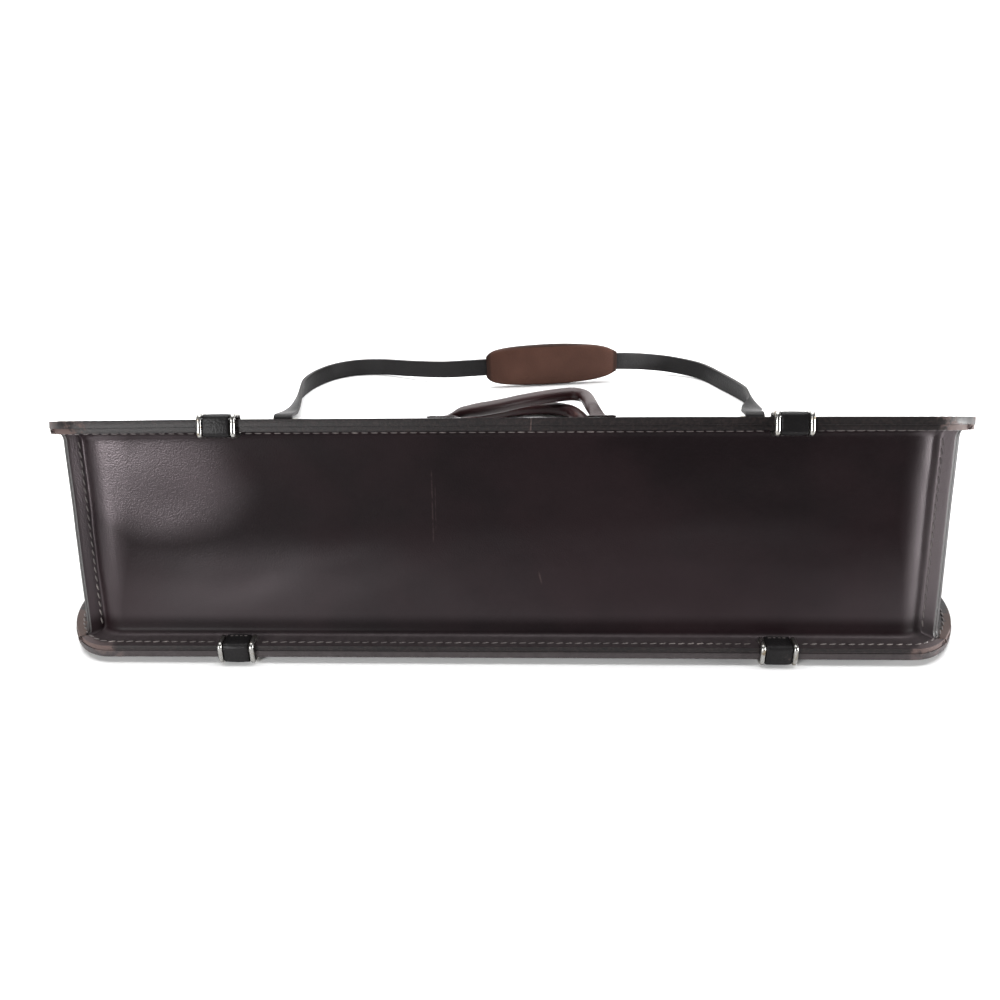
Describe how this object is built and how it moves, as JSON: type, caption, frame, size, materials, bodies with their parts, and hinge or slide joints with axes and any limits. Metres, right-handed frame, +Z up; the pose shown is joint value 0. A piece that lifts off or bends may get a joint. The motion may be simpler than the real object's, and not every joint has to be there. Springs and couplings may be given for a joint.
{
  "type": "leather document case",
  "caption": "Dark burgundy leather document case lying on its back panel, with rolled handles, silver rim rings and a shoulder strap with a brown pad.",
  "frame": {"origin": "under the middle of the whole object's bounding box, on the surface it lies on", "axes": "+X to the right along the bottom edge, +Y from the bottom gusset to the mouth, handles and strap, +Z up from the resting surface"},
  "size_m": [0.41, 0.4162, 0.1105],
  "materials": {
    "case_leather": "dark burgundy, semi-gloss, worn brown at the edges",
    "handle_leather": "dark red-brown, polished by use",
    "strap_leather": "charcoal, satin",
    "pad_leather": "brown, satin, darker edges",
    "silver": "silver wire, lightly tarnished"
  },
  "bodies": {
    "root": {"back_panel": "case_leather", "back_sleeve_left": "strap_leather", "back_ring_left_1": "silver", "back_ring_left_2": "silver", "back_sleeve_right": "strap_leather", "back_ring_right_1": "silver", "back_ring_right_2": "silver", "front_panel": "case_leather", "front_sleeve_left": "strap_leather", "front_ring_left_1": "silver", "front_ring_left_2": "silver", "front_sleeve_right": "strap_leather", "front_ring_right_1": "silver", "front_ring_right_2": "silver", "bottom_gusset": "case_leather", "side_gusset_left": "case_leather", "ring_tab_left": "strap_leather", "strap_ring_left": "silver", "side_gusset_right": "case_leather", "ring_tab_right": "strap_leather", "strap_ring_right": "silver", "front_handle": "handle_leather", "back_handle": "handle_leather", "strap": "strap_leather", "shoulder_pad": "pad_leather"}
  },
  "joints": []
}
